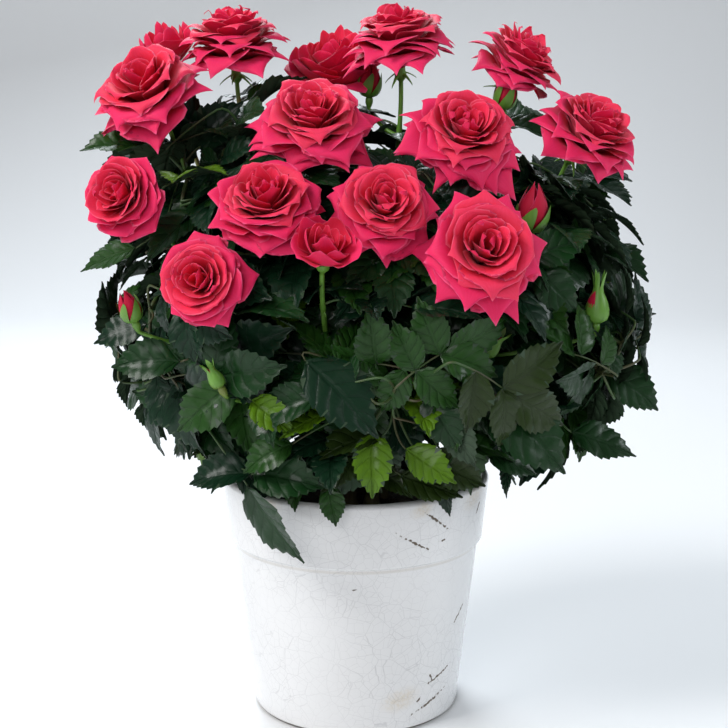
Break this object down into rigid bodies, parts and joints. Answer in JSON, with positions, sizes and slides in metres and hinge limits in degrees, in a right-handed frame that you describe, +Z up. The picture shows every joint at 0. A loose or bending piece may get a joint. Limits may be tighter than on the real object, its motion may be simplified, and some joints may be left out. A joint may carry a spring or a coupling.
{
  "type": "potted rose bush",
  "caption": "Patio rose bush in full bloom with dark glossy leaves, planted in a tapered white crackle-glazed pot.",
  "frame": {"origin": "centre of the pot's flat underside, on the surface that it stands on", "axes": "+Z up along the pot's axis; the side seen first in the picture faces -Y, with +X to its right"},
  "size_m": [0.3334, 0.2599, 0.4052],
  "materials": {
    "pot_glaze": "white crackle glaze",
    "nursery_pot": "satin",
    "soil": "rough",
    "cane_bark": "smooth bark",
    "shoot_green": "satin",
    "petal_red": "velvet",
    "leaf_green": "glossy"
  },
  "bodies": {
    "root": {"pot": "pot_glaze", "grow_pot": "nursery_pot", "soil": "soil", "cane_1": "cane_bark", "cane_2": "cane_bark", "cane_3": "cane_bark", "cane_4": "cane_bark", "cane_5": "cane_bark", "cane_6": "cane_bark", "shoot_01": "shoot_green", "shoot_02": "shoot_green", "shoot_03": "shoot_green", "shoot_04": "shoot_green", "shoot_05": "shoot_green", "shoot_06": "shoot_green", "shoot_07": "shoot_green", "shoot_08": "shoot_green", "shoot_09": "shoot_green", "shoot_10": "shoot_green", "shoot_11": "shoot_green", "shoot_12": "shoot_green", "shoot_13": "shoot_green", "shoot_14": "shoot_green", "shoot_15": "shoot_green", "shoot_16": "shoot_green", "shoot_17": "shoot_green", "shoot_18": "shoot_green", "shoot_19": "shoot_green", "bloom_01": "petal_red", "bloom_02": "petal_red", "bloom_03": "petal_red", "bloom_04": "petal_red", "bloom_05": "petal_red", "bloom_06": "petal_red", "bloom_07": "petal_red", "bloom_08": "petal_red", "bloom_09": "petal_red", "bloom_10": "petal_red", "bloom_11": "petal_red", "bloom_12": "petal_red", "bloom_13": "petal_red", "bloom_14": "petal_red", "bloom_15": "petal_red", "bloom_16": "petal_red", "bloom_17": "petal_red", "bloom_18": "petal_red", "bloom_19": "petal_red", "leaves_low_left": "leaf_green", "leaves_low_front": "leaf_green", "leaves_low_right": "leaf_green", "leaves_low_back_right": "leaf_green", "leaves_low_back_left": "leaf_green", "leaves_high_left": "leaf_green", "leaves_high_front": "leaf_green", "leaves_high_right": "leaf_green", "leaves_high_back": "leaf_green"}
  },
  "joints": []
}
